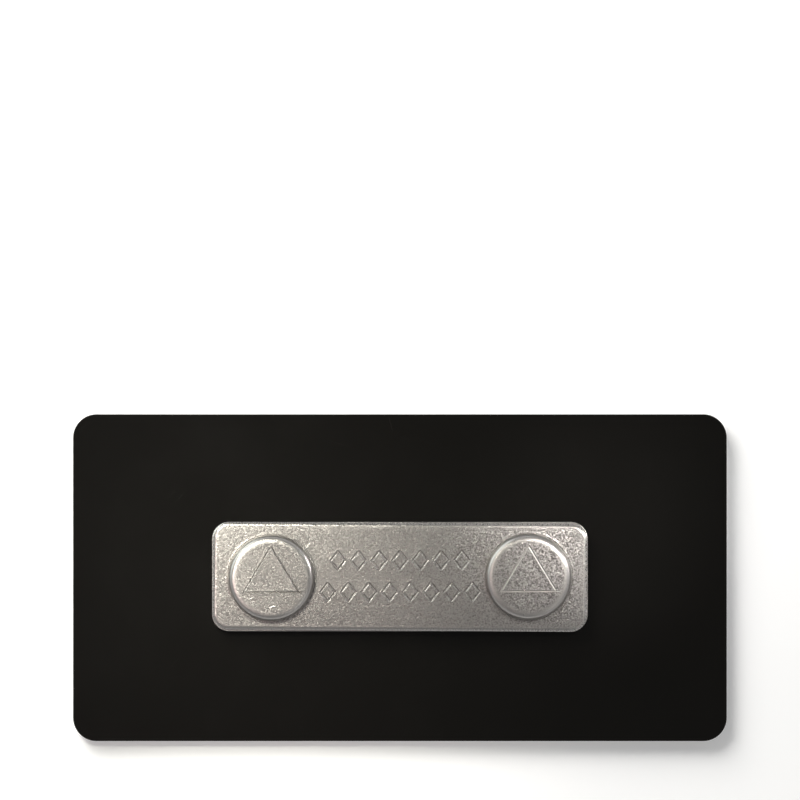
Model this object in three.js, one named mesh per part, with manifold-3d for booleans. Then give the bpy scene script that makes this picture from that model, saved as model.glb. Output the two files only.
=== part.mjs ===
// Name badge lying on its face, with a magnet bar on its back.
// Millimetres. Z is up, out of the back of the badge. X runs along its long side.
// The origin is the centre of the name face, on the surface that the badge lies on.
import * as THREE from 'three';
import { mergeVertices } from 'three/addons/utils/BufferGeometryUtils.js';
import Module from 'manifold-3d';

const wasm = await Module();
wasm.setup();

// Badge plate, a metal sheet bonded to a plastic one
const badgeLength = 76.2;
const badgeHeight = 38.1;
const badgeCornerRadius = 2.75;
const faceThickness = 0.25;
const backingThickness = 1.35;

// Steel keeper strip, held on the back by a foam pad
const keeperLength = 43.75;
const keeperWidth = 12.73;
const keeperCornerRadius = 2;
const keeperThickness = 0.9;
const keeperEdgeRadius = 0.15;
const keeperShift = 0.15;
const padInset = 0.5;
const padThickness = 0.5;

// Magnet bar, a pressed steel cover over two disc magnets. Its sheet lies a little askew to the domes.
const seatGap = 0.05;
const barInset = 0.18;
const barShift = -0.086;
const barTurn = THREE.MathUtils.degToRad(0.257);
const sheetShift = 0.066;
const sheetTurn = THREE.MathUtils.degToRad(-0.65);
const sheetThickness = 0.5;
const rolledEdgeRadius = 0.4;
const domeEndMargin = 6.715;
const domeRadius = 5;
const domeRise = 1.5;
const domeShoulderRadius = 1.1;
const domeFootRadius = 0.3;
const magnetClearance = 0.1;

// Stamped lines
const triangleWidth = 6.4;
const triangleHeight = 5.3;
const triangleBaseDrop = 1.64;
const triangleLineWidth = 0.2;
const lozengeWidth = 1.7;
const lozengeHeight = 2.16;
const lozengePitch = 2.4;
const lozengeLineWidth = 0.26;
const stampDepth = 0.12;
const lozengeRows = [
  { count: 7, y: 1.97 },
  { count: 8, y: -1.7 },
];

// Fineness of the round edges
const cornerSteps = 8;
const edgeSteps = 4;
const turnSteps = 56;

// Outline of the bar, with a dome near each end
const barLength = keeperLength - 2 * barInset;
const barWidth = keeperWidth - 2 * barInset;
const barCornerRadius = keeperCornerRadius - barInset;
const domeSpacing = barLength - 2 * domeEndMargin;

// Heights worked out from the stack
const backingBottom = faceThickness;
const padBottom = backingBottom + backingThickness;
const keeperBottom = padBottom + padThickness;
const barBottom = keeperBottom + keeperThickness + seatGap;
const domeTop = sheetThickness + domeRise;
const pocketRadius = domeRadius - sheetThickness;
const pocketDepth = domeTop - sheetThickness;
const pocketShoulderRadius = Math.max(domeShoulderRadius - sheetThickness, magnetClearance * 2);

function toSolid(geometry) {
  const bare = geometry.clone();
  bare.deleteAttribute('normal');
  bare.deleteAttribute('uv');
  const merged = mergeVertices(bare.index ? bare.toNonIndexed() : bare, 1e-5);
  return new wasm.Manifold(new wasm.Mesh({
    numProp: 3,
    vertProperties: new Float32Array(merged.attributes.position.array),
    triVerts: new Uint32Array(merged.index.array),
  }));
}

function toGeometry(solid) {
  const { vertProperties, triVerts, numProp } = solid.getMesh();
  const geometry = new THREE.BufferGeometry();
  const positions = new Float32Array((vertProperties.length / numProp) * 3);
  for (let i = 0; i < positions.length / 3; i += 1) {
    positions.set(vertProperties.subarray(i * numProp, i * numProp + 3), i * 3);
  }
  geometry.setAttribute('position', new THREE.BufferAttribute(positions, 3));
  geometry.setIndex(new THREE.BufferAttribute(new Uint32Array(triVerts), 1));
  return geometry;
}

// Points round a rectangle with round corners, anticlockwise
function roundedOutline(length, width, radius) {
  const points = [];
  const centres = [[1, 1], [-1, 1], [-1, -1], [1, -1]];
  centres.forEach(([sideX, sideY], corner) => {
    for (let i = 0; i <= cornerSteps; i += 1) {
      const angle = (corner + i / cornerSteps) * Math.PI / 2;
      points.push(new THREE.Vector2(
        sideX * (length / 2 - radius) + radius * Math.cos(angle),
        sideY * (width / 2 - radius) + radius * Math.sin(angle),
      ));
    }
  });
  return points;
}

// Plate with square edges below and an upper edge rounded to edgeRadius
function roundedPlate(length, width, cornerRadius, thickness, edgeRadius = 0) {
  const levels = [{ inset: 0, z: 0 }];
  const steps = edgeRadius > 0 ? edgeSteps : 0;
  for (let i = 0; i <= steps; i += 1) {
    const angle = steps ? (i / steps) * Math.PI / 2 : 0;
    levels.push({
      inset: edgeRadius * (1 - Math.cos(angle)),
      z: thickness - edgeRadius * (1 - Math.sin(angle)),
    });
  }
  const positions = [];
  const outlines = levels.map(({ inset }) => (
    roundedOutline(length - 2 * inset, width - 2 * inset, cornerRadius - inset)));
  const count = outlines[0].length;
  const corner = (level, i) => {
    const { x, y } = outlines[level][i % count];
    return [x, y, levels[level].z];
  };
  for (let i = 0; i < count; i += 1) {
    for (let level = 0; level + 1 < levels.length; level += 1) {
      positions.push(...corner(level, i), ...corner(level, i + 1), ...corner(level + 1, i + 1));
      positions.push(...corner(level, i), ...corner(level + 1, i + 1), ...corner(level + 1, i));
    }
    const top = levels.length - 1;
    positions.push(0, 0, levels[top].z, ...corner(top, i), ...corner(top, i + 1));
    positions.push(0, 0, levels[0].z, ...corner(0, i + 1), ...corner(0, i));
  }
  const geometry = new THREE.BufferGeometry();
  geometry.setAttribute('position', new THREE.Float32BufferAttribute(positions, 3));
  return geometry;
}

// Solid of revolution about Z from points of radius and height
function turned(points) {
  return new THREE.LatheGeometry(points, turnSteps).rotateX(Math.PI / 2);
}

// Quarter round between two angles, as points of radius and height
function arcPoints(centreRadius, centreHeight, radius, from, to) {
  return Array.from({ length: edgeSteps + 1 }, (_, i) => {
    const angle = from + (to - from) * (i / edgeSteps);
    return new THREE.Vector2(
      centreRadius + radius * Math.cos(angle),
      centreHeight + radius * Math.sin(angle),
    );
  });
}

function domeGeometry() {
  const buried = sheetThickness / 2;
  const foot = domeRadius + domeFootRadius;
  return turned([
    new THREE.Vector2(0, buried),
    new THREE.Vector2(foot, buried),
    ...arcPoints(foot, sheetThickness + domeFootRadius, domeFootRadius, -Math.PI / 2, -Math.PI),
    ...arcPoints(domeRadius - domeShoulderRadius, domeTop - domeShoulderRadius, domeShoulderRadius, 0, Math.PI / 2),
    new THREE.Vector2(0, domeTop),
  ]);
}

function pocketGeometry() {
  const shoulder = pocketShoulderRadius;
  return turned([
    new THREE.Vector2(0, -sheetThickness),
    new THREE.Vector2(pocketRadius, -sheetThickness),
    ...arcPoints(pocketRadius - shoulder, pocketDepth - shoulder, shoulder, 0, Math.PI / 2),
    new THREE.Vector2(0, pocketDepth),
  ]);
}

function magnetGeometry() {
  const radius = pocketRadius - magnetClearance;
  const height = pocketDepth - 2 * magnetClearance;
  const edge = pocketShoulderRadius - magnetClearance;
  return turned([
    new THREE.Vector2(0, 0),
    new THREE.Vector2(radius, 0),
    ...arcPoints(radius - edge, height - edge, edge, 0, Math.PI / 2),
    new THREE.Vector2(0, height),
  ]);
}

// Cutter for a line of one width along a polygon whose sides all touch a circle round the origin
function outlineCutter(corners, inradius, lineWidth, surface) {
  const scaled = (factor) => corners.map(([x, y]) => new THREE.Vector2(x * factor, y * factor));
  const shape = new THREE.Shape(scaled(1 + lineWidth / 2 / inradius));
  shape.holes.push(new THREE.Path(scaled(1 - lineWidth / 2 / inradius)));
  const depth = stampDepth + domeRise;
  const geometry = new THREE.ExtrudeGeometry(shape, { depth, bevelEnabled: false });
  return geometry.translate(0, 0, surface - stampDepth);
}

function triangleCutter() {
  const half = triangleWidth / 2;
  const side = Math.hypot(half, triangleHeight);
  const inradius = (triangleWidth * triangleHeight) / (triangleWidth + 2 * side);
  const corners = [[-half, -inradius], [half, -inradius], [0, triangleHeight - inradius]];
  const cutter = outlineCutter(corners, inradius, triangleLineWidth, domeTop);
  return cutter.translate(0, inradius - triangleBaseDrop, 0);
}

function lozengeCutter() {
  const [x, y] = [lozengeWidth / 2, lozengeHeight / 2];
  const inradius = (x * y) / Math.hypot(x, y);
  return outlineCutter([[x, 0], [0, y], [-x, 0], [0, -y]], inradius, lozengeLineWidth, sheetThickness);
}

function coverGeometry() {
  const sheet = roundedPlate(barLength, barWidth, barCornerRadius, sheetThickness, rolledEdgeRadius);
  let cover = toSolid(sheet.rotateZ(sheetTurn).translate(0, sheetShift, 0));
  for (const side of [-1, 1]) {
    const x = side * domeSpacing / 2;
    cover = cover.add(toSolid(domeGeometry().translate(x, 0, 0)));
    cover = cover.subtract(toSolid(pocketGeometry().translate(x, 0, 0)));
    cover = cover.subtract(toSolid(triangleCutter().translate(x, 0, 0)));
  }
  for (const { count, y } of lozengeRows) {
    for (let i = 0; i < count; i += 1) {
      const x = (i - (count - 1) / 2) * lozengePitch;
      cover = cover.subtract(toSolid(lozengeCutter().translate(x, y, 0)));
    }
  }
  return toGeometry(cover);
}

const brushedSilver = new THREE.MeshStandardMaterial({ color: 0xcfcecc, metalness: 1, roughness: 0.35 });
const blackPlastic = new THREE.MeshStandardMaterial({ color: 0x1c1b19, metalness: 0, roughness: 0.6 });
const foam = new THREE.MeshStandardMaterial({ color: 0x2b2a28, metalness: 0, roughness: 0.9 });
const steel = new THREE.MeshStandardMaterial({ color: 0xaaa59c, metalness: 1, roughness: 0.4 });
const nickel = new THREE.MeshStandardMaterial({ color: 0xc4c2be, metalness: 1, roughness: 0.2 });

function piece(name, geometry, material, [x, y, z]) {
  const mesh = new THREE.Mesh(geometry, material);
  mesh.name = name;
  mesh.position.set(x, y, z);
  return mesh;
}

const badge = new THREE.Group();

const face = roundedPlate(badgeLength, badgeHeight, badgeCornerRadius, faceThickness);
badge.add(piece('face_plate', face, brushedSilver, [0, 0, 0]));

const backing = roundedPlate(badgeLength, badgeHeight, badgeCornerRadius, backingThickness);
badge.add(piece('backing_plate', backing, blackPlastic, [0, 0, backingBottom]));

const pad = roundedPlate(
  keeperLength - 2 * padInset,
  keeperWidth - 2 * padInset,
  keeperCornerRadius - padInset,
  padThickness,
);
badge.add(piece('adhesive_pad', pad, foam, [0, keeperShift, padBottom]));

const keeper = roundedPlate(keeperLength, keeperWidth, keeperCornerRadius, keeperThickness, keeperEdgeRadius);
badge.add(piece('keeper_plate', keeper, steel, [0, keeperShift, keeperBottom]));

const magnetBar = new THREE.Group();
magnetBar.position.set(0, keeperShift + barShift, barBottom);
magnetBar.rotation.z = barTurn;
magnetBar.add(piece('magnet_cover', coverGeometry(), steel, [0, 0, 0]));
magnetBar.add(piece('magnet_left', magnetGeometry(), nickel, [-domeSpacing / 2, 0, magnetClearance]));
magnetBar.add(piece('magnet_right', magnetGeometry(), nickel, [domeSpacing / 2, 0, magnetClearance]));
badge.add(magnetBar);

export default badge;
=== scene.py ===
# Name badge lying on its face, seen from the back with its magnet bar on.
import bpy
import math
import numpy as np
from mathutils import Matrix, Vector
from mathutils.geometry import delaunay_2d_cdt


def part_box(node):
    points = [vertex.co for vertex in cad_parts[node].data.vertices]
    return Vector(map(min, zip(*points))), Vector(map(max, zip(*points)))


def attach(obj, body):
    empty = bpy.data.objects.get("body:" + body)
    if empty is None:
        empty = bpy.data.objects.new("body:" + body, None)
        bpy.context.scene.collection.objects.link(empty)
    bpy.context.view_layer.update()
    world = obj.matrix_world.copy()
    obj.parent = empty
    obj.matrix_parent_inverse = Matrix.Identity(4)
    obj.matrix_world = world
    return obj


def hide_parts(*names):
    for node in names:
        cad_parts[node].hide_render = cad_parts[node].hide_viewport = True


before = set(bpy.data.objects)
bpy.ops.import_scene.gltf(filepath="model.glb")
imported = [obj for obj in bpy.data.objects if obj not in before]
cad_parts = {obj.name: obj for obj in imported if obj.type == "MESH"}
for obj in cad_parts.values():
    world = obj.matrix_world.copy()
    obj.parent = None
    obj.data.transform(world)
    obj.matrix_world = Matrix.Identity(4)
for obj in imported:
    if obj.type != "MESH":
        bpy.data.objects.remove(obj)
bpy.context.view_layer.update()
mm = 0.001
print("frame loaded:", ", ".join(sorted(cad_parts)))


# Where the magnet bar lies: its domes stand over the two magnets
def centreOf(node):
    low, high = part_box(node)
    return (low + high) / 2


leftMagnet, rightMagnet = centreOf("magnet_left"), centreOf("magnet_right")
barLine = rightMagnet - leftMagnet
barTurn = math.atan2(barLine.y, barLine.x)
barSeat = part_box("magnet_cover")[0].z
barPlace = Vector(((leftMagnet.x + rightMagnet.x) / 2, (leftMagnet.y + rightMagnet.y) / 2, barSeat))
domeSpacing = math.hypot(barLine.x, barLine.y) / mm
barHeight = (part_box("magnet_cover")[1].z - barSeat) / mm


# Mesh helpers. Lengths are in millimetres until a mesh is made.
def makePiece(name, points, faces, place=(0, 0, 0), turn=0.0):
    mesh = bpy.data.meshes.new(name)
    mesh.from_pydata([tuple(c * mm for c in p) for p in points], [], faces)
    mesh.validate()
    mesh.shade_smooth()
    piece = bpy.data.objects.new(name, mesh)
    piece.location = place
    piece.rotation_euler = (0, 0, turn)
    bpy.context.scene.collection.objects.link(piece)
    return piece


def roundedOutline(length, width, radius, steps):
    points = []
    for corner, (sideX, sideY) in enumerate(((1, 1), (-1, 1), (-1, -1), (1, -1))):
        for i in range(steps + 1):
            angle = (corner + i / steps) * math.pi / 2
            points.append((sideX * (length / 2 - radius) + radius * math.cos(angle),
                           sideY * (width / 2 - radius) + radius * math.sin(angle)))
    return points


# Side of a plate from its lower to its upper face, as insets and heights, with both edges rounded
def plateSide(thickness, lowerEdge, upperEdge, steps=6):
    side = []
    for i in range(steps + 1):
        angle = i / steps * math.pi / 2
        side.append((lowerEdge * (1 - math.sin(angle)), lowerEdge * (1 - math.cos(angle))))
    for i in range(steps + 1):
        angle = i / steps * math.pi / 2
        side.append((upperEdge * (1 - math.cos(angle)), thickness - upperEdge * (1 - math.sin(angle))))
    return side


def makePlate(name, look, side, place):
    points, faces = [], []
    for inset, z in side:
        outline = roundedOutline(look["length"] - 2 * inset, look["width"] - 2 * inset,
                                 look["cornerRadius"] - inset, look["cornerSteps"])
        points += [(x, y, z) for x, y in outline]
    count = len(points) // len(side)
    for level in range(len(side) - 1):
        for i in range(count):
            j = (i + 1) % count
            low, high = level * count, (level + 1) * count
            faces.append((low + i, low + j, high + j, high + i))
    faces.append(tuple(reversed(range(count))))
    faces.append(tuple(range((len(side) - 1) * count, len(side) * count)))
    piece = makePiece(name, points, faces, place)
    even = piece.modifiers.new("evenNormals", "WEIGHTED_NORMAL")
    even.keep_sharp = True
    even.weight = 80
    return piece


def sizesOf(node):
    low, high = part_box(node)
    return [(b - a) / mm for a, b in zip(low, high)]


# Material helpers
def addNode(tree, kind, **values):
    node = tree.nodes.new(kind)
    for key, value in values.items():
        setattr(node, key, value)
    return node


def setInputs(node, **values):
    for key, value in values.items():
        node.inputs[key].default_value = value


def mathNode(tree, operation, first, second=None):
    node = addNode(tree, "ShaderNodeMath", operation=operation)
    for socket, value in zip(node.inputs, (first, second)):
        if isinstance(value, (int, float)):
            socket.default_value = value
        elif value is not None:
            tree.links.new(value, socket)
    return node.outputs[0]


def newGroup(name, inputs, outputs):
    group = bpy.data.node_groups.new(name, "ShaderNodeTree")
    for socketName, kind, value in inputs:
        socket = group.interface.new_socket(socketName, in_out="INPUT", socket_type=kind)
        if value is not None:
            socket.default_value = value
    for socketName, kind in outputs:
        group.interface.new_socket(socketName, in_out="OUTPUT", socket_type=kind)
    return group, group.nodes.new("NodeGroupInput"), group.nodes.new("NodeGroupOutput")


# Fine uneven skin: rounded grains that each lean their own way, with scattered deeper pits.
# Height is in millimetres.
def buildGrain():
    group, start, end = newGroup("surfaceGrain", [
        ("Vector", "NodeSocketVector", None),
        ("Grain Size", "NodeSocketFloat", 0.2),
        ("Grain Height", "NodeSocketFloat", 0.004),
        ("Pit Depth", "NodeSocketFloat", 0.004),
        ("Lean", "NodeSocketFloat", 0.0),
    ], [("Height", "NodeSocketFloat"), ("Grains", "NodeSocketFloat"), ("Pits", "NodeSocketFloat"),
        ("Normal", "NodeSocketVector")])
    links = group.links
    perMetre = mathNode(group, "DIVIDE", 1000, start.outputs["Grain Size"])
    noise = addNode(group, "ShaderNodeTexNoise")
    setInputs(noise, Detail=3.0, Roughness=0.62)
    links.new(start.outputs["Vector"], noise.inputs["Vector"])
    links.new(perMetre, noise.inputs["Scale"])
    cells = addNode(group, "ShaderNodeTexVoronoi", feature="SMOOTH_F1")
    setInputs(cells, Smoothness=0.6)
    links.new(start.outputs["Vector"], cells.inputs["Vector"])
    links.new(mathNode(group, "MULTIPLY", perMetre, 0.55), cells.inputs["Scale"])
    pits = addNode(group, "ShaderNodeMapRange", interpolation_type="SMOOTHSTEP")
    setInputs(pits, **{"From Min": 0.06, "From Max": 0.3, "To Min": 1.0, "To Max": 0.0})
    links.new(cells.outputs["Distance"], pits.inputs["Value"])
    swell = mathNode(group, "MULTIPLY", mathNode(group, "SUBTRACT", noise.outputs[0], 0.5),
                     start.outputs["Grain Height"])
    dent = mathNode(group, "MULTIPLY", pits.outputs[0], start.outputs["Pit Depth"])
    links.new(mathNode(group, "SUBTRACT", swell, dent), end.inputs["Height"])
    links.new(noise.outputs[0], end.inputs["Grains"])
    links.new(pits.outputs[0], end.inputs["Pits"])
    around = addNode(group, "ShaderNodeVectorMath", operation="SUBTRACT")
    links.new(noise.outputs["Color"], around.inputs[0])
    around.inputs[1].default_value = (0.5, 0.5, 0.5)
    lean = addNode(group, "ShaderNodeVectorMath", operation="SCALE")
    links.new(around.outputs[0], lean.inputs[0])
    links.new(start.outputs["Lean"], lean.inputs["Scale"])
    leaning = addNode(group, "ShaderNodeVectorMath", operation="ADD")
    links.new(addNode(group, "ShaderNodeNewGeometry").outputs["Normal"], leaning.inputs[0])
    links.new(lean.outputs[0], leaning.inputs[1])
    straight = addNode(group, "ShaderNodeVectorMath", operation="NORMALIZE")
    links.new(leaning.outputs[0], straight.inputs[0])
    links.new(straight.outputs[0], end.inputs["Normal"])
    return group


# Hairline scratches in three directions, as a mask
def buildScratches():
    group, start, end = newGroup("hairScratches", [
        ("Vector", "NodeSocketVector", None),
        ("Scratch Length", "NodeSocketFloat", 6.0),
        ("Scratch Width", "NodeSocketFloat", 0.07),
        ("Rarity", "NodeSocketFloat", 0.7),
    ], [("Scratches", "NodeSocketFloat")])
    links = group.links
    along = mathNode(group, "DIVIDE", 1000, start.outputs["Scratch Length"])
    across = mathNode(group, "DIVIDE", 1000, start.outputs["Scratch Width"])
    stretch = addNode(group, "ShaderNodeCombineXYZ")
    links.new(along, stretch.inputs[0])
    links.new(across, stretch.inputs[1])
    links.new(along, stretch.inputs[2])
    total = None
    for degrees in (17, 74, 132):
        turn = addNode(group, "ShaderNodeVectorRotate", rotation_type="Z_AXIS")
        turn.inputs["Angle"].default_value = math.radians(degrees)
        links.new(start.outputs["Vector"], turn.inputs["Vector"])
        scaled = addNode(group, "ShaderNodeVectorMath", operation="MULTIPLY")
        links.new(turn.outputs[0], scaled.inputs[0])
        links.new(stretch.outputs[0], scaled.inputs[1])
        noise = addNode(group, "ShaderNodeTexNoise")
        setInputs(noise, Scale=1.0, Detail=1.0)
        links.new(scaled.outputs[0], noise.inputs["Vector"])
        line = addNode(group, "ShaderNodeMapRange", interpolation_type="SMOOTHSTEP")
        line.inputs["From Max"].default_value = 0.9
        links.new(noise.outputs[0], line.inputs["Value"])
        links.new(start.outputs["Rarity"], line.inputs["From Min"])
        total = line.outputs[0] if total is None else mathNode(group, "MAXIMUM", total, line.outputs[0])
    links.new(total, end.inputs["Scratches"])
    return group


# Long parallel brush strokes along X. Height is in millimetres.
def buildBrushing():
    group, start, end = newGroup("brushLines", [
        ("Vector", "NodeSocketVector", None),
        ("Stroke Length", "NodeSocketFloat", 25.0),
        ("Stroke Width", "NodeSocketFloat", 0.12),
        ("Stroke Height", "NodeSocketFloat", 0.003),
    ], [("Height", "NodeSocketFloat"), ("Strokes", "NodeSocketFloat")])
    links = group.links
    total = None
    for lengthShare, widthShare, weight in ((1.0, 1.0, 0.5), (0.35, 0.5, 0.3), (2.5, 3.0, 0.2)):
        stretch = addNode(group, "ShaderNodeCombineXYZ")
        along = mathNode(group, "DIVIDE", 1000 / lengthShare, start.outputs["Stroke Length"])
        across = mathNode(group, "DIVIDE", 1000 / widthShare, start.outputs["Stroke Width"])
        links.new(along, stretch.inputs[0])
        links.new(across, stretch.inputs[1])
        scaled = addNode(group, "ShaderNodeVectorMath", operation="MULTIPLY")
        links.new(start.outputs["Vector"], scaled.inputs[0])
        links.new(stretch.outputs[0], scaled.inputs[1])
        noise = addNode(group, "ShaderNodeTexNoise")
        setInputs(noise, Scale=1.0, Detail=2.0, Roughness=0.6)
        links.new(scaled.outputs[0], noise.inputs["Vector"])
        share = mathNode(group, "MULTIPLY", noise.outputs[0], weight)
        total = share if total is None else mathNode(group, "ADD", total, share)
    links.new(total, end.inputs["Strokes"])
    links.new(mathNode(group, "MULTIPLY", total, start.outputs["Stroke Height"]), end.inputs["Height"])
    return group


# Mask of a band along the outline of a rounded rectangle round the origin, broken up by noise
def buildRimWear():
    group, start, end = newGroup("rimWear", [
        ("Vector", "NodeSocketVector", None),
        ("Length", "NodeSocketFloat", 40.0),
        ("Width", "NodeSocketFloat", 12.0),
        ("Corner Radius", "NodeSocketFloat", 2.0),
        ("Band", "NodeSocketFloat", 0.3),
        ("Breakup", "NodeSocketFloat", 0.5),
    ], [("Wear", "NodeSocketFloat")])
    links = group.links
    split = addNode(group, "ShaderNodeSeparateXYZ")
    links.new(start.outputs["Vector"], split.inputs[0])
    beyond = []
    for axis, size in ((0, "Length"), (1, "Width")):
        place = mathNode(group, "MULTIPLY", mathNode(group, "ABSOLUTE", split.outputs[axis]), 1000)
        half = mathNode(group, "MULTIPLY", start.outputs[size], 0.5)
        straight = mathNode(group, "SUBTRACT", half, start.outputs["Corner Radius"])
        beyond.append(mathNode(group, "SUBTRACT", place, straight))
    outX, outY = (mathNode(group, "MAXIMUM", b, 0) for b in beyond)
    squareX, squareY = (mathNode(group, "MULTIPLY", out, out) for out in (outX, outY))
    corner = mathNode(group, "SQRT", mathNode(group, "ADD", squareX, squareY))
    within = mathNode(group, "MINIMUM", mathNode(group, "MAXIMUM", beyond[0], beyond[1]), 0)
    distance = mathNode(group, "ADD", corner, within)
    inset = mathNode(group, "SUBTRACT", start.outputs["Corner Radius"], distance)
    noise = addNode(group, "ShaderNodeTexNoise")
    setInputs(noise, Scale=900.0, Detail=4.0, Roughness=0.7)
    links.new(start.outputs["Vector"], noise.inputs["Vector"])
    ragged = mathNode(group, "SUBTRACT", noise.outputs[0], 0.5)
    ragged = mathNode(group, "MULTIPLY", ragged, start.outputs["Breakup"])
    edge = addNode(group, "ShaderNodeMapRange", interpolation_type="SMOOTHSTEP")
    setInputs(edge, **{"From Min": 0.0, "To Min": 1.0, "To Max": 0.0})
    links.new(mathNode(group, "ADD", inset, ragged), edge.inputs["Value"])
    links.new(start.outputs["Band"], edge.inputs["From Max"])
    links.new(edge.outputs[0], end.inputs["Wear"])
    return group


grainGroup, scratchGroup = buildGrain(), buildScratches()
brushGroup, wearGroup = buildBrushing(), buildRimWear()
print("shared effects ready")


# Most of the noise lies within this span
noiseSpan = (0.3, 0.7)


# A material with a Principled shader, and what most of them need: object coordinates and effect groups.
# A look is a piece's own dictionary.
class Finish:
    def __init__(self, name, **values):
        self.material = bpy.data.materials.new(name)
        self.material.use_nodes = True
        self.tree = self.material.node_tree
        self.shader = self.tree.nodes["Principled BSDF"]
        self.place = addNode(self.tree, "ShaderNodeTexCoord").outputs["Object"]
        setInputs(self.shader, **values)

    def link(self, source, target):
        self.tree.links.new(source, target)

    def math(self, operation, first, second=None):
        return mathNode(self.tree, operation, first, second)

    def effect(self, group, **values):
        node = addNode(self.tree, "ShaderNodeGroup", node_tree=group)
        self.link(self.place, node.inputs["Vector"])
        setInputs(node, **values)
        return node

    def grain(self, look):
        return self.effect(grainGroup, **{"Grain Size": look["grainSize"],
                           "Grain Height": look["grainHeight"], "Pit Depth": look["pitDepth"]})

    def scratches(self, look):
        node = self.effect(scratchGroup, **{"Scratch Length": look["scratchLength"],
                           "Scratch Width": look["scratchWidth"], "Rarity": look["scratchRarity"]})
        return node.outputs[0]

    def wear(self, look):
        node = self.effect(wearGroup, **{"Length": look["length"], "Width": look["width"],
                           "Corner Radius": look["cornerRadius"], "Band": look["wearBand"],
                           "Breakup": look["wearBreakup"]})
        return node.outputs[0]

    def noise(self, sizeInMm, detail=3.0, roughness=0.55):
        node = addNode(self.tree, "ShaderNodeTexNoise")
        setInputs(node, Scale=1000 / sizeInMm, Detail=detail, Roughness=roughness)
        self.link(self.place, node.inputs["Vector"])
        return node.outputs[0]

    def ramp(self, factor, stops):
        node = addNode(self.tree, "ShaderNodeValToRGB")
        while len(node.color_ramp.elements) < len(stops):
            node.color_ramp.elements.new(0.5)
        for element, (position, colour) in zip(node.color_ramp.elements, stops):
            element.position = position
            element.color = (*colour, 1)
        self.link(factor, node.inputs[0])
        return node.outputs[0]

    def mix(self, factor, first, second, blend="MIX"):
        node = addNode(self.tree, "ShaderNodeMix", data_type="RGBA", blend_type=blend)
        for socket, value in zip((node.inputs[0], node.inputs[6], node.inputs[7]), (factor, first, second)):
            if isinstance(value, (int, float)):
                socket.default_value = value
            elif isinstance(value, tuple):
                socket.default_value = (*value, 1)
            else:
                self.link(value, socket)
        return node.outputs[2]

    def range(self, value, low, high, fromLow=0.0, fromHigh=1.0):
        node = addNode(self.tree, "ShaderNodeMapRange")
        setInputs(node, **{"From Min": fromLow, "From Max": fromHigh, "To Min": low, "To Max": high})
        self.link(value, node.inputs["Value"])
        return node.outputs[0]

    def bump(self, height, normal=None):
        node = addNode(self.tree, "ShaderNodeBump")
        setInputs(node, Distance=mm)
        self.link(height, node.inputs["Height"])
        if normal:
            self.link(normal, node.inputs["Normal"])
        self.link(node.outputs[0], self.shader.inputs["Normal"])


# Brushed face sheet
faceLook = {
    "length": sizesOf("face_plate")[0], "width": sizesOf("face_plate")[1],
    "cornerRadius": 2.75, "cornerSteps": 24, "edgeRadius": 0.06, "bondedEdge": 0.01,
    "silver": (0.68, 0.68, 0.665), "dullSilver": (0.52, 0.52, 0.505), "silverAt": 0.62, "dullAt": 0.36,
    "strokeLength": 28.0, "strokeWidth": 0.13, "strokeHeight": 0.0035, "strokeSpan": (0.35, 0.65),
    "cloudSize": 14.0, "cloudTones": (0.94, 1.06), "anisotropy": 0.5, "smoothest": 0.24, "roughest": 0.4,
    "scratchLength": 5.0, "scratchWidth": 0.06, "scratchRarity": 0.74,
    "scratchDepth": 0.001, "scratchRoughness": 0.06,
}


def makeFaceMaterial():
    look = faceLook
    finish = Finish("brushedFace", Metallic=1.0, Anisotropic=look["anisotropy"])
    brushing = finish.effect(brushGroup, **{"Stroke Length": look["strokeLength"],
                             "Stroke Width": look["strokeWidth"], "Stroke Height": look["strokeHeight"]})
    scratches = finish.scratches(look)
    strokes = brushing.outputs["Strokes"]
    colour = finish.ramp(strokes, [(look["dullAt"], look["dullSilver"]), (look["silverAt"], look["silver"])])
    cloudy = finish.range(finish.noise(look["cloudSize"]), *look["cloudTones"], *noiseSpan)
    shade = finish.mix(cloudy, (0, 0, 0), (1, 1, 1))
    finish.link(finish.mix(1.0, colour, shade, "MULTIPLY"), finish.shader.inputs["Base Color"])
    rough = finish.range(strokes, look["smoothest"], look["roughest"], *look["strokeSpan"])
    rough = finish.math("ADD", rough, finish.math("MULTIPLY", scratches, look["scratchRoughness"]))
    finish.link(rough, finish.shader.inputs["Roughness"])
    cut = finish.math("MULTIPLY", scratches, -look["scratchDepth"])
    finish.bump(finish.math("ADD", brushing.outputs["Height"], cut))
    return finish.material


def makeFace():
    look = faceLook
    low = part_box("face_plate")[0]
    side = plateSide(sizesOf("face_plate")[2], look["edgeRadius"], look["bondedEdge"])
    face = makePlate("brushedFacePlate", look, side, (0, 0, low.z))
    face.data.materials.append(makeFaceMaterial())
    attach(face, "badge")
    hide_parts("face_plate")


makeFace()
print("face sheet made")


# Black backing plate
backingLook = {
    "length": sizesOf("backing_plate")[0], "width": sizesOf("backing_plate")[1],
    "cornerRadius": 2.75, "cornerSteps": 24, "edgeRadius": 0.09, "bondedEdge": 0.01,
    "black": (0.0038, 0.0034, 0.0027), "greyedBlack": (0.0052, 0.0047, 0.0039), "worn": (0.012, 0.0115, 0.01),
    "grainSize": 0.16, "grainHeight": 0.0015, "pitDepth": 0.001, "grainShares": (-0.2, 0.3),
    "rubSize": 9.0, "rubSpan": (0.45, 0.75), "rubShares": (0.0, 0.3), "rubRoughness": 0.1,
    "scratchLength": 7.0, "scratchWidth": 0.05, "scratchRarity": 0.73, "scratchDepth": 0.003,
    "scratchShare": 0.5, "wearBand": 0.16, "wearBreakup": 0.3, "wearShare": 0.55,
    "shine": 0.2, "smoothest": 0.16, "roughest": 0.24,
}


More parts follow.
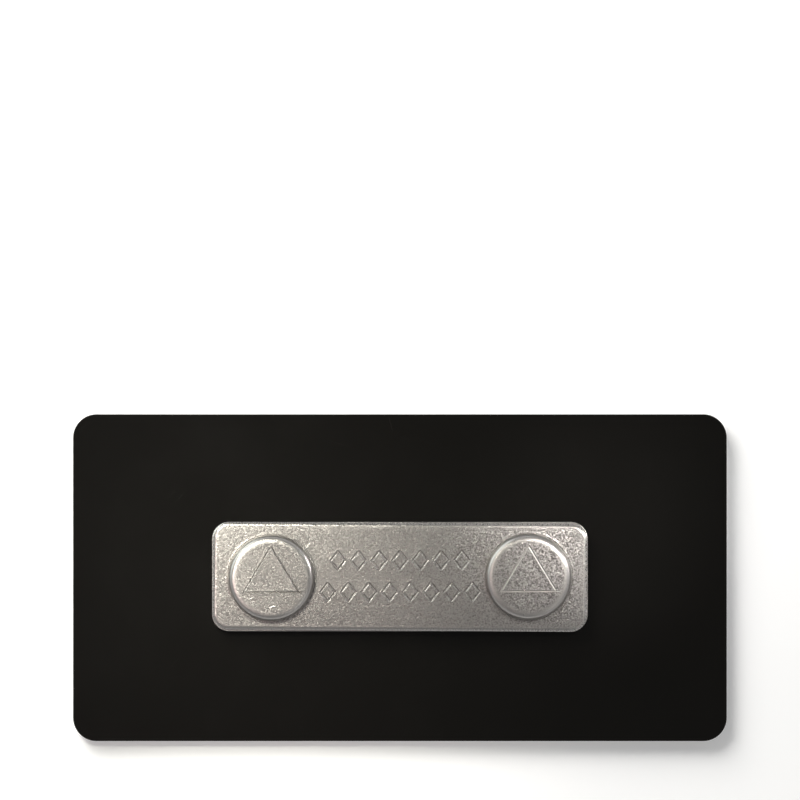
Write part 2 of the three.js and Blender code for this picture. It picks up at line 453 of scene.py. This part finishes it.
def makeBackingMaterial():
    look = backingLook
    finish = Finish("blackPlastic", **{"Specular IOR Level": look["shine"]})
    grain, scratches, wear = finish.grain(look), finish.scratches(look), finish.wear(look)
    rubbed = finish.range(finish.noise(look["rubSize"], 5.0, 0.6), *look["rubShares"], *look["rubSpan"])
    skin = finish.math("ADD", rubbed, finish.range(grain.outputs["Grains"], *look["grainShares"], *noiseSpan))
    colour = finish.mix(skin, look["black"], look["greyedBlack"])
    colour = finish.mix(finish.math("MULTIPLY", scratches, look["scratchShare"]), colour, look["worn"])
    colour = finish.mix(finish.math("MULTIPLY", wear, look["wearShare"]), colour, look["worn"])
    finish.link(colour, finish.shader.inputs["Base Color"])
    rough = finish.range(grain.outputs["Grains"], look["roughest"], look["smoothest"], *noiseSpan)
    rough = finish.math("ADD", rough, finish.math("MULTIPLY", rubbed, look["rubRoughness"]))
    finish.link(rough, finish.shader.inputs["Roughness"])
    cut = finish.math("MULTIPLY", scratches, -look["scratchDepth"])
    finish.bump(finish.math("ADD", grain.outputs["Height"], cut))
    return finish.material


def makeBacking():
    look = backingLook
    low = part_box("backing_plate")[0]
    side = plateSide(sizesOf("backing_plate")[2], look["bondedEdge"], look["edgeRadius"])
    backing = makePlate("blackBackingPlate", look, side, (0, 0, low.z))
    backing.data.materials.append(makeBackingMaterial())
    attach(backing, "badge")
    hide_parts("backing_plate")


makeBacking()
print("backing plate made")


# Foam pad under the keeper, its sides bulging a little
padLook = {
    "length": sizesOf("adhesive_pad")[0], "width": sizesOf("adhesive_pad")[1],
    "cornerRadius": 1.5, "cornerSteps": 16, "bulge": 0.07, "sideSteps": 8,
    "foam": (0.02, 0.0195, 0.0185), "cellWall": (0.045, 0.044, 0.042), "shine": 0.2,
    "grainSize": 0.14, "grainHeight": 0.02, "pitDepth": 0.02, "smoothest": 0.75, "roughest": 0.95,
}


def makePadMaterial():
    look = padLook
    finish = Finish("foamPad", **{"Specular IOR Level": look["shine"]})
    grain = finish.grain(look)
    colour = finish.mix(grain.outputs["Pits"], look["cellWall"], look["foam"])
    finish.link(colour, finish.shader.inputs["Base Color"])
    rough = finish.range(grain.outputs["Grains"], look["smoothest"], look["roughest"])
    finish.link(rough, finish.shader.inputs["Roughness"])
    finish.bump(grain.outputs["Height"])
    return finish.material


def makePad():
    look = padLook
    low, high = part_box("adhesive_pad")
    thickness = sizesOf("adhesive_pad")[2]
    shares = [i / look["sideSteps"] for i in range(look["sideSteps"] + 1)]
    side = [(look["bulge"] * (1 - math.sin(math.pi * share)), thickness * share) for share in shares]
    pad = makePlate("foamPadPiece", look, side, ((low.x + high.x) / 2, (low.y + high.y) / 2, low.z))
    pad.data.materials.append(makePadMaterial())
    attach(pad, "badge")
    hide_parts("adhesive_pad")


makePad()
print("foam pad made")


# Keeper strip: rolled steel with a rounded upper edge
keeperLook = {
    "length": sizesOf("keeper_plate")[0], "width": sizesOf("keeper_plate")[1],
    "cornerRadius": 2.0, "cornerSteps": 24, "lowerEdge": 0.06, "upperEdge": 0.08,
    "grainSize": 0.18, "grainHeight": 0.008, "pitDepth": 0.004, "facet": 0.35,
}


# Plated steel, for the keeper and the cover: speckled, brightened by wear at its rim, dark in its pits.
# The cover is also brighter, smoother and more even where it is burnished, darker in a thin ring round each
# dome's foot, which is painted shade and grime, and darker along its stamped lines.
steelLook = {
    "steel": (0.45, 0.43, 0.415), "darkSteel": (0.15, 0.142, 0.135), "pitShare": 0.25,
    "cloudSize": 5.0, "cloudTones": (0.8, 1.0), "speckleTones": (0.15, 1.3), "speckleSpan": (0.38, 0.62),
    "scratchLength": 2.6, "scratchWidth": 0.06, "scratchRarity": 0.72, "scratchDepth": 0.003,
    "wearBand": 0.45, "wearBreakup": 0.3, "wearShare": 0.5, "smoother": 0.06,
    "smoothest": 0.32, "roughest": 0.46,
    "burnishShare": 0.6, "burnishFacet": 0.15, "evenTone": 0.75, "evenShare": 0.8,
    "shadeAndGrimeSize": 0.8, "shadeAndGrimeShares": (0.45, 1.0), "shadeAndGrimeSpan": (0.35, 0.6),
}


def makeSteelMaterial(name, look):
    look = {**steelLook, **look}
    finish = Finish(name, Metallic=1.0)
    grain = finish.grain(look)
    burnish = addNode(finish.tree, "ShaderNodeAttribute", attribute_name="burnish").outputs["Fac"]
    lean = finish.range(burnish, look["facet"], look["facet"] * look["burnishFacet"])
    finish.link(lean, grain.inputs["Lean"])
    scratches, wear = finish.scratches(look), finish.wear(look)
    tone = finish.range(finish.noise(look["cloudSize"], 5.0, 0.6), *look["cloudTones"], *noiseSpan)
    speckle = finish.range(grain.outputs["Grains"], *look["speckleTones"], *look["speckleSpan"])
    even = finish.math("MULTIPLY", finish.math("SUBTRACT", look["evenTone"], speckle),
                       finish.math("MULTIPLY", burnish, look["evenShare"]))
    tone = finish.math("MULTIPLY", tone, finish.math("ADD", speckle, even))
    colour = finish.mix(tone, look["darkSteel"], look["steel"])
    pitted = finish.math("MULTIPLY", grain.outputs["Pits"], look["pitShare"])
    colour = finish.mix(pitted, colour, look["darkSteel"])
    colour = finish.mix(finish.math("MULTIPLY", wear, look["wearShare"]), colour, look["steel"])
    if "shadeAndGrime" in look:
        bright = finish.math("MULTIPLY", burnish, look["burnishShare"])
        colour = finish.mix(bright, colour, look["brightSteel"])
        # Painted shade and grime in a thin ring round each dome's foot, and darker stamped lines, in patches
        darkened = addNode(finish.tree, "ShaderNodeAttribute", attribute_name="shadeAndGrime").outputs["Fac"]
        patchy = finish.range(finish.noise(look["shadeAndGrimeSize"]), *look["shadeAndGrimeShares"], *look["shadeAndGrimeSpan"])
        colour = finish.mix(finish.math("MULTIPLY", darkened, patchy), colour, look["shadeAndGrime"])
    finish.link(colour, finish.shader.inputs["Base Color"])
    rough = finish.range(grain.outputs["Grains"], look["roughest"], look["smoothest"], *noiseSpan)
    for mask in (wear, burnish):
        rough = finish.math("SUBTRACT", rough, finish.math("MULTIPLY", mask, look["smoother"]))
    finish.link(rough, finish.shader.inputs["Roughness"])
    cut = finish.math("MULTIPLY", scratches, -look["scratchDepth"])
    finish.bump(finish.math("ADD", grain.outputs["Height"], cut), grain.outputs["Normal"])
    return finish.material


def makeKeeper():
    look = keeperLook
    low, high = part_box("keeper_plate")
    side = plateSide(sizesOf("keeper_plate")[2], look["lowerEdge"], look["upperEdge"])
    keeper = makePlate("steelKeeperStrip", look, side, ((low.x + high.x) / 2, (low.y + high.y) / 2, low.z))
    keeper.data.materials.append(makeSteelMaterial("keeperSteel", look))
    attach(keeper, "badge")
    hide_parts("keeper_plate")


makeKeeper()
print("keeper strip made")


# Pressed steel cover. Its upper and lower skins are height maps over one outline, cut into triangles
# along every ring and stamped line, and joined by the side wall.
coverLook = {
    "length": sizesOf("keeper_plate")[0] - 0.2, "width": sizesOf("keeper_plate")[1] - 0.2,
    "cornerRadius": 1.9, "cornerSteps": 24,
    "sheet": 0.5, "sheetShift": 0.066, "sheetTurn": math.radians(-0.65),
    "edgeInset": 0.45, "edgeDrop": 0.17, "edgePower": 2.0, "edgeSteps": 9,
    "crossCrown": 0.12, "endDroop": 0.06, "endFrom": 12.0,
    "domeRadius": 4.98, "shoulderFrom": 3.55, "shoulderDrop": 0.95, "shoulderPower": 5.4, "wall": 0.04,
    "domeSteps": 144, "shoulderSteps": 14, "domeCrown": 0.04, "innerRings": (2.3, 1.2),
    "pocketRadius": 4.5, "pocketShoulder": 0.6, "pocketSteps": 72,
    "pocketRings": (0.002, -0.002, -0.05, -0.2, -0.4, -0.6),
    "grooveAt": 0.06, "grooveWidth": 0.04, "grooveDepth": 0.005, "grooveRings": (-0.5, 0.0, 0.7, 1.3),
    "lipAt": 0.2, "lipWidth": 0.09, "lipHeight": 0.02, "lipRings": (-0.5, 0.0, 0.5, 1.0, 1.6, 2.3),
    "grainSize": 0.19, "grainHeight": 0.01, "pitDepth": 0.008, "facet": 0.68,
    # Colour of the painted shade and grime in a thin ring round each dome's foot, and of the darker stamped
    # lines
    "shadeAndGrime": (0.11, 0.1, 0.088), "shadeAndGrimeRing": 0.04, "shadeAndGrimeDepth": 0.12, "lineDarkReach": 1.2,
    "brightSteel": (0.64, 0.615, 0.59), "burnishFrom": 3.9, "burnishOver": 0.5, "burnishPast": 0.06,
    "burnishReach": 2, "rimBurnish": 1.3,
}
# Stamped lines: a triangle on each dome and two rows of lozenges between them. Burrs and offsets are
# in half widths of a line.
stampLook = {
    "triangleWidth": 6.4, "triangleHeight": 5.3, "triangleDrop": 1.64, "overrun": 0.3,
    # Each kind of line also sets how much darker its groove and its sides are drawn
    "leftLine": 0.075, "leftDepth": 0.02, "leftDarkening": 1.0,
    "rightLine": 0.085, "rightDepth": 0.034, "rightDarkening": 0.0,
    "lozengeWidth": 1.7, "lozengeHeight": 2.16, "lozengePitch": 2.4, "rows": ((7, 1.97), (8, -1.7)),
    "lozengeLine": 0.12, "lozengeDepth": 0.032, "lozengeDarkening": 0.2,
    "burr": 0.42, "burrAt": 1.45, "burrWidth": 0.45, "lineStep": 0.35,
    "offsets": (-2.3, -1.45, -1.0, -0.55, 0, 0.55, 1.0, 1.45, 2.3),
}
# Knocks and scratches in the steel, as places on the bar, in millimetres, written as in stampedLines
nicks = (
    ((-11.0, 3.4), (-10.5, 4.1), 0.05, 0.012, 0),
    ((-15.2, -3.35), (-14.5, -3.15), 0.07, 0.015, 0),
    ((-17.6, -2.35), (-17.0, -2.2), 0.05, 0.01, 0),
    ((-19.9, -3.9), (-19.3, -4.3), 0.05, 0.01, 0),
    ((5.2, -4.3), (6.1, -4.6), 0.05, 0.01, 0),
    ((18.9, 1.0), (19.5, 1.3), 0.05, 0.01, 0),
)


# Every stamped or scratched line as (start, end, half width, depth, how much darker it is drawn)
def stampedLines():
    look = stampLook
    lines = []
    half, top = look["triangleWidth"] / 2, look["triangleHeight"] - look["triangleDrop"]
    for side, line, depth, darkened in ((-1, look["leftLine"], look["leftDepth"], look["leftDarkening"]),
                                    (1, look["rightLine"], look["rightDepth"], look["rightDarkening"])):
        x = side * domeSpacing / 2
        left, right, apex = (x - half, -look["triangleDrop"]), (x + half, -look["triangleDrop"]), (x, top)
        overrun = (right[0] + look["overrun"], right[1])
        for start, end in ((left, overrun), (right, apex), (left, apex)):
            lines.append((start, end, line, depth, darkened))
    for count, y in look["rows"]:
        for i in range(count):
            x = (i - (count - 1) / 2) * look["lozengePitch"]
            corners = [(x + look["lozengeWidth"] / 2, y), (x, y + look["lozengeHeight"] / 2),
                       (x - look["lozengeWidth"] / 2, y), (x, y - look["lozengeHeight"] / 2)]
            for start, end in zip(corners, corners[1:] + corners[:1]):
                lines.append((start, end, look["lozengeLine"], look["lozengeDepth"], look["lozengeDarkening"]))
    return lines + list(nicks)


coverLines = stampedLines()


# The sheet lies a little askew to its domes: from the domes' frame to the sheet's own, and back
def toSheet(x, y):
    cosine, sine = math.cos(coverLook["sheetTurn"]), math.sin(coverLook["sheetTurn"])
    y = y - coverLook["sheetShift"]
    return x * cosine + y * sine, y * cosine - x * sine


def fromSheet(outline):
    cosine, sine = math.cos(coverLook["sheetTurn"]), math.sin(coverLook["sheetTurn"])
    return [(x * cosine - y * sine, x * sine + y * cosine + coverLook["sheetShift"]) for x, y in outline]


# Distance inwards from the cover's outline
def insetAt(x, y):
    look = coverLook
    x, y = toSheet(x, y)
    radius = look["cornerRadius"]
    beyondX = np.abs(x) - (look["length"] / 2 - radius)
    beyondY = np.abs(y) - (look["width"] / 2 - radius)
    outX, outY = np.maximum(beyondX, 0), np.maximum(beyondY, 0)
    distance = np.hypot(outX, outY) + np.minimum(np.maximum(beyondX, beyondY), 0) - radius
    return -distance


# Distance from a line in half widths
def awayFrom(line, x, y):
    (ax, ay), (bx, by), halfWidth = line[:3]
    along = np.clip(((x - ax) * (bx - ax) + (y - ay) * (by - ay)) / ((bx - ax) ** 2 + (by - ay) ** 2), 0, 1)
    return np.hypot(x - ax - along * (bx - ax), y - ay - along * (by - ay)) / halfWidth


# A bump of height 1 round one value
def bell(value, middle, width):
    return np.exp(-((value - middle) / width) ** 2)


# Grooves pressed by every line at once, each with a low burr along both sides
def stampedDepth(x, y):
    look = stampLook
    groove, burr = np.zeros(len(x)), np.zeros(len(x))
    for line in coverLines:
        away, depth = awayFrom(line, x, y), line[3]
        groove = np.maximum(groove, depth * np.clip(1 - away ** 2, 0, 1))
        burr = np.maximum(burr, depth * look["burr"] * bell(away, look["burrAt"], look["burrWidth"]))
    return groove - np.where(groove > 0, 0, burr)


def domeDistance(x, y):
    return np.minimum(np.hypot(x - domeSpacing / 2, y), np.hypot(x + domeSpacing / 2, y))


# Height of the upper skin above the underside of the bar
def upperHeight(x, y):
    look = coverLook
    inset = np.clip(insetAt(x, y) / look["edgeInset"], 0, 1)
    z = look["sheet"] - look["edgeDrop"] * (1 - inset) ** look["edgePower"]
    beyond = np.maximum(np.abs(x) - look["endFrom"], 0) / (look["length"] / 2 - look["endFrom"])
    sag = look["crossCrown"] * (2 * y / look["width"]) ** 2 + look["endDroop"] * beyond ** 2
    r = domeDistance(x, y)
    radius = look["domeRadius"]
    onDome = 1 - np.clip((r - radius) / look["wall"], 0, 1)
    turnIn = np.clip((r - look["shoulderFrom"]) / (radius - look["shoulderFrom"]), 0, 1)
    top = barHeight - look["shoulderDrop"] * (1 - np.sqrt(1 - turnIn ** look["shoulderPower"]))
    top = top - look["domeCrown"] * np.clip(r / radius, 0, 1) ** 2
    z = (z - sag) * (1 - onDome) + top * onDome
    z = z - look["grooveDepth"] * bell(r - radius, look["grooveAt"], look["grooveWidth"]) * (1 - onDome)
    z = z + look["lipHeight"] * bell(r - radius, look["lipAt"], look["lipWidth"]) * (1 - onDome)
    return z - stampedDepth(x, y)


# How dark the upper skin is drawn: a thin ring round each dome's foot, which is painted shade and grime, and
# the darker stamped lines
def shadeAndGrimeAt(x, y):
    look = coverLook
    past = domeDistance(x, y) - look["domeRadius"]
    darkened = look["shadeAndGrimeDepth"] * bell(past, look["shadeAndGrimeRing"], look["shadeAndGrimeRing"])
    for line in coverLines:
        darkened = np.maximum(darkened, line[4] * np.clip(look["lineDarkReach"] - awayFrom(line, x, y), 0, 1))
    return darkened


# Drawing the sheet over the die burnishes the shoulders of the domes and the rolled edge.
# Lines that are not drawn darker shine too.
def burnishAt(x, y):
    look = coverLook
    r = domeDistance(x, y)
    shoulder = np.clip((r - look["burnishFrom"]) / look["burnishOver"], 0, 1)
    shoulder = shoulder * (r < look["domeRadius"] + look["burnishPast"])
    rim = np.clip(look["rimBurnish"] - insetAt(x, y) / look["edgeInset"], 0, 1)
    shine = np.maximum(shoulder, rim)
    for line in coverLines:
        if line[4] == 0:
            shine = np.maximum(shine, np.clip(look["burnishReach"] - awayFrom(line, x, y), 0, 1))
    return shine


# Height of the lower skin, hollow under each dome
def lowerHeight(x, y):
    look = coverLook
    r = domeDistance(x, y)
    radius, shoulder = look["pocketRadius"], look["pocketShoulder"]
    inner = np.clip(r - (radius - shoulder), 0, shoulder)
    roof = barHeight - look["sheet"] - shoulder + np.sqrt(shoulder ** 2 - inner ** 2)
    return np.where(r < radius, roof, 0.0)


def ring(centreX, radius, steps):
    return [(centreX + radius * math.cos(2 * math.pi * i / steps), radius * math.sin(2 * math.pi * i / steps))
            for i in range(steps)]


# Triangles over the cover's outline that follow closed rings and open lines
def cutSkin(rings, lines):
    points, edges = [], []
    for outline in rings:
        first = len(points)
        points += outline
        edges += [(first + i, first + (i + 1) % len(outline)) for i in range(len(outline))]
    for line in lines:
        first = len(points)
        points += line
        edges += [(first + i, first + i + 1) for i in range(len(line) - 1)]
    places, _, triangles, origins, _, _ = delaunay_2d_cdt([Vector(p) for p in points], edges, [], 0, 1e-6)
    found = {}
    for index, sources in enumerate(origins):
        for source in sources:
            found[source] = index
    border = [found[i] for i in range(len(rings[0]))]
    return np.array([(p.x, p.y) for p in places]), [tuple(t) for t in triangles], border


def upperRings():
    look = coverLook
    rings = []
    for i in range(look["edgeSteps"] + 1):
        inset = look["edgeInset"] * (1 - math.cos(i / look["edgeSteps"] * math.pi / 2))
        rings.append(fromSheet(roundedOutline(look["length"] - 2 * inset, look["width"] - 2 * inset,
                                              look["cornerRadius"] - inset, look["cornerSteps"])))
    radius, start = look["domeRadius"], look["shoulderFrom"]
    turns = [i / look["shoulderSteps"] * math.pi / 2 for i in range(look["shoulderSteps"] + 1)]
    radii = [start + (radius - start) * math.sin(turn) for turn in turns] + [radius + look["wall"]]
    radii += [radius + look["grooveAt"] + look["grooveWidth"] * k for k in look["grooveRings"]]
    radii += [radius + look["lipAt"] + look["lipWidth"] * k for k in look["lipRings"]]
    radii += look["innerRings"]
    for side in (-1, 1):
        rings += [ring(side * domeSpacing / 2, r, look["domeSteps"]) for r in sorted(radii)]
    return rings


# Lines beside each stamped line, close together where its section bends
def strokeLines():
    lines = []
    for (ax, ay), (bx, by), halfWidth, _, _ in coverLines:
        length = math.hypot(bx - ax, by - ay)
        ux, uy = (bx - ax) / length, (by - ay) / length
        count = max(3, round((length + 4 * halfWidth) / stampLook["lineStep"]))
        for offset in stampLook["offsets"]:
            line = []
            for i in range(count + 1):
                t = -2 * halfWidth + (length + 4 * halfWidth) * i / count
                line.append((ax + ux * t - uy * offset * halfWidth, ay + uy * t + ux * offset * halfWidth))
            lines.append(line)
    return lines


# Upward normals from the slope of the upper skin. At the very rim they point straight out.
def upperNormals(places):
    step = 0.004
    x, y = places[:, 0], places[:, 1]
    slopeX = (upperHeight(x + step, y) - upperHeight(x - step, y)) / (2 * step)
    slopeY = (upperHeight(x, y + step) - upperHeight(x, y - step)) / (2 * step)
    normals = np.stack([-slopeX, -slopeY, np.ones(len(x))], axis=1)
    outX = insetAt(x - step, y) - insetAt(x + step, y)
    outY = insetAt(x, y - step) - insetAt(x, y + step)
    out = np.stack([outX, outY, np.zeros(len(x))], axis=1)
    atRim = insetAt(x, y) < step
    normals[atRim] = out[atRim]
    return normals / np.linalg.norm(normals, axis=1)[:, None]


def makeCover():
    look = coverLook
    upper, upperFaces, upperBorder = cutSkin(upperRings(), strokeLines())
    outline = fromSheet(roundedOutline(look["length"], look["width"], look["cornerRadius"],
                                       look["cornerSteps"]))
    lowerRings = [ring(s * domeSpacing / 2, look["pocketRadius"] + past, look["pocketSteps"])
                  for s in (-1, 1) for past in look["pocketRings"]]
    lower, lowerFaces, lowerBorder = cutSkin([outline] + lowerRings, [])
    points = [(x, y, z) for (x, y), z in zip(upper, upperHeight(upper[:, 0], upper[:, 1]))]
    points += [(x, y, z) for (x, y), z in zip(lower, lowerHeight(lower[:, 0], lower[:, 1]))]
    shift = len(upper)
    faces = list(upperFaces)
    faces += [tuple(shift + i for i in reversed(f)) for f in lowerFaces]
    count = len(upperBorder)
    for i in range(count):
        j = (i + 1) % count
        faces.append((shift + lowerBorder[i], shift + lowerBorder[j], upperBorder[j], upperBorder[i]))
    cover = makePiece("pressedMagnetCover", points, faces, barPlace, barTurn)
    mesh = cover.data
    skinNormals = upperNormals(upper)
    loopNormals = []
    for face in mesh.polygons:
        for corner in face.vertices:
            loopNormals.append(tuple(skinNormals[corner] if corner < shift else face.normal))
    mesh.normals_split_custom_set(loopNormals)
    for name, valueAt in (("shadeAndGrime", shadeAndGrimeAt), ("burnish", burnishAt)):
        values = np.concatenate([valueAt(upper[:, 0], upper[:, 1]), np.zeros(len(lower))])
        mesh.attributes.new(name, "FLOAT", "POINT").data.foreach_set("value", values)
    mesh.materials.append(makeSteelMaterial("coverSteel", look))
    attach(cover, "magnet_bar")
    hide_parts("magnet_cover")
    print("cover has", len(mesh.polygons), "faces")


makeCover()
print("magnet cover made")


# Disc magnets under the domes keep their shape from the frame and get bright nickel
magnetLook = {
    "nickel": (0.66, 0.645, 0.61), "dullNickel": (0.5, 0.485, 0.455), "cloudSize": 1.5,
    "grainSize": 0.3, "grainHeight": 0.002, "pitDepth": 0.001,
    "scratchLength": 3.0, "scratchWidth": 0.05, "scratchRarity": 0.68, "smoothest": 0.2, "roughest": 0.35,
}


def makeMagnets():
    look = magnetLook
    finish = Finish("magnetNickel", Metallic=1.0)
    grain, scratches = finish.grain(look), finish.scratches(look)
    colour = finish.mix(finish.noise(look["cloudSize"]), look["dullNickel"], look["nickel"])
    finish.link(colour, finish.shader.inputs["Base Color"])
    rough = finish.range(scratches, look["smoothest"], look["roughest"])
    finish.link(rough, finish.shader.inputs["Roughness"])
    finish.bump(grain.outputs["Height"])
    for node in ("magnet_left", "magnet_right"):
        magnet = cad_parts[node]
        magnet.data.materials.clear()
        magnet.data.materials.append(finish.material)


makeMagnets()
print("magnets finished")


# Camera straight above, framed as the photograph is: plate and frame sizes in its pixels
viewLook = {
    "framePixels": 800, "platePixels": 653.8, "plateCentre": (399.9, 577.7), "lens": 500.0, "sensor": 36.0,
    "clipStart": 0.01, "clipEnd": 10,
}


def makeCamera():
    look = viewLook
    plateLength = sizesOf("backing_plate")[0] * mm
    pixel = plateLength / look["platePixels"]
    frameWidth = look["framePixels"] * pixel
    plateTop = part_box("backing_plate")[1].z
    distance = frameWidth * look["lens"] / look["sensor"]
    middle = look["framePixels"] / 2
    camera = bpy.data.objects.new("camera", bpy.data.cameras.new("camera"))
    camera.data.lens = look["lens"]
    camera.data.sensor_width = look["sensor"]
    camera.data.clip_start = look["clipStart"]
    camera.data.clip_end = look["clipEnd"]
    camera.location = ((middle - look["plateCentre"][0]) * pixel, (look["plateCentre"][1] - middle) * pixel,
                       plateTop + distance)
    bpy.context.scene.collection.objects.link(camera)
    bpy.context.scene.camera = camera


makeCamera()

# Studio light: a softbox at the upper left that steel doesn't mirror, a wide low one that only glossy
# surfaces mirror, small spots on the magnet bar, and a surround that is brighter round the horizon
lightLook = {
    "key": {"place": (-0.24, 0.38, 0.26), "size": (0.36, 0.36), "watts": 3.9, "colour": (1.0, 0.985, 0.96)},
    "wide": {"place": (-0.385, 0.29, 0.1), "size": (0.55, 0.22), "watts": 0.78, "colour": (0.9, 1.0, 0.95)},
    "highLeftSpot": {"place": (-0.05, 0.045, 0.12), "aim": (-0.0195, -0.0005, 0), "reach": 0.0275,
                     "size": 0.023, "watts": 0.76, "colour": (1.0, 0.99, 0.87)},
    "fillSpot": {"place": (0.045, -0.05, 0.12), "aim": (-0.008, 0.001, 0), "reach": 0.022, "size": 0.03,
                 "watts": 0.09, "colour": (1.0, 0.99, 0.95)},
    "lowLeftSpot": {"place": (-0.12, 0.1, 0.1), "aim": (-0.006, 0, 0), "reach": 0.028, "size": 0.02,
                    "watts": 0.1, "colour": (1.0, 0.98, 0.94)},
    "nearLeftSpot": {"place": (-0.06, -0.01, 0.11), "aim": (-0.016, -0.003, 0), "reach": 0.024, "size": 0.03,
                     "watts": 0.16, "colour": (1.0, 0.76, 0.76)},
    "rightSpot": {"place": (0.06, 0.034, 0.055), "aim": (0.013, 0.012, 0), "reach": 0.0165, "size": 0.018,
                  "watts": 0.145, "colour": (0.92, 1.0, 0.9)},
    "rightEndSpot": {"place": (0.053, 0.043, 0.115), "aim": (0.0215, 0.0056, 0), "reach": 0.0084,
                     "size": 0.012, "watts": 1.05, "colour": (1.0, 0.95, 0.91)},
    "lowSpot": {"place": (0.17, 0.07, 0.045), "aim": (-0.002, 0.003, 0), "reach": 0.0165, "size": 0.025,
                "watts": 1.55, "colour": (1.0, 0.93, 0.97)},
    "overhead": 0.2, "overheadFrom": 0.85, "horizon": 0.55,
}
spots = ("highLeftSpot", "fillSpot", "lowLeftSpot", "nearLeftSpot", "rightSpot", "rightEndSpot", "lowSpot")


def placeLamp(name, light, aim):
    look = lightLook[name]
    light.energy = look["watts"]
    light.color = look["colour"]
    lamp = bpy.data.objects.new(name, light)
    lamp.location = look["place"]
    lamp.rotation_euler = (Vector(look["place"]) - Vector(aim)).to_track_quat("Z", "Y").to_euler()
    lamp.visible_camera = False
    bpy.context.scene.collection.objects.link(lamp)
    return lamp


def makeSoftbox(name):
    light = bpy.data.lights.new(name, "AREA")
    light.shape = "RECTANGLE"
    light.size, light.size_y = lightLook[name]["size"]
    return placeLamp(name, light, (0, 0, 0))


# A soft-edged pool of light, reach being its radius where it falls
def makeSpot(name):
    look = lightLook[name]
    distance = (Vector(look["place"]) - Vector(look["aim"])).length
    light = bpy.data.lights.new(name, "SPOT")
    light.shadow_soft_size = look["size"]
    light.spot_size = 2 * math.atan(look["reach"] / distance)
    light.spot_blend = 1.0
    placeLamp(name, light, look["aim"])


# Dim overhead and brighter round the horizon
def makeSurround():
    world = bpy.data.worlds.new("surround")
    world.use_nodes = True
    bpy.context.scene.world = world
    tree = world.node_tree
    split = addNode(tree, "ShaderNodeSeparateXYZ")
    tree.links.new(addNode(tree, "ShaderNodeTexCoord").outputs["Generated"], split.inputs[0])
    blend = addNode(tree, "ShaderNodeMapRange", interpolation_type="SMOOTHSTEP")
    setInputs(blend, **{"From Min": 0.0, "From Max": lightLook["overheadFrom"],
                        "To Min": lightLook["horizon"], "To Max": lightLook["overhead"]})
    tree.links.new(split.outputs[2], blend.inputs["Value"])
    tree.links.new(blend.outputs[0], tree.nodes["Background"].inputs["Strength"])
    tree.nodes["Background"].inputs["Color"].default_value = (1, 1, 1, 1)


# Pale paper floor. Its underside lets light and sight through, so the face can be seen from below.
floorLook = {
    "size": 4.0, "gap": 0.02, "paper": (0.93, 0.93, 0.925), "shade": (0.9, 0.9, 0.895), "cloudSize": 30.0,
    "glow": 0.22, "roughness": 0.85, "fibreSize": 0.6, "fibreHeight": 0.01,
}


def makeFloor():
    look = floorLook
    half = look["size"] / 2
    z = -look["gap"] * mm
    mesh = bpy.data.meshes.new("paperFloor")
    corners = [(-half, -half, z), (half, -half, z), (half, half, z), (-half, half, z)]
    mesh.from_pydata(corners, [], [(0, 1, 2, 3)])
    floor = bpy.data.objects.new("paperFloor", mesh)
    bpy.context.scene.collection.objects.link(floor)
    finish = Finish("palePaper", **{"Roughness": look["roughness"], "Emission Color": (1, 1, 1, 1),
                    "Emission Strength": look["glow"]})
    tree = finish.tree
    colour = finish.mix(finish.noise(look["cloudSize"], 4.0), look["shade"], look["paper"])
    finish.link(colour, finish.shader.inputs["Base Color"])
    finish.bump(finish.math("MULTIPLY", finish.noise(look["fibreSize"], 2.0), look["fibreHeight"]))
    clear = addNode(tree, "ShaderNodeBsdfTransparent")
    either = addNode(tree, "ShaderNodeMixShader")
    finish.link(addNode(tree, "ShaderNodeNewGeometry").outputs["Backfacing"], either.inputs[0])
    finish.link(finish.shader.outputs[0], either.inputs[1])
    finish.link(clear.outputs[0], either.inputs[2])
    finish.link(either.outputs[0], tree.nodes["Material Output"].inputs["Surface"])
    floor.data.materials.append(finish.material)


makeSoftbox("key").visible_glossy = False
makeSoftbox("wide").visible_diffuse = False
for name in spots:
    makeSpot(name)
makeSurround()
makeFloor()
bpy.context.scene.view_settings.view_transform = "Standard"
print("camera, light and floor ready")
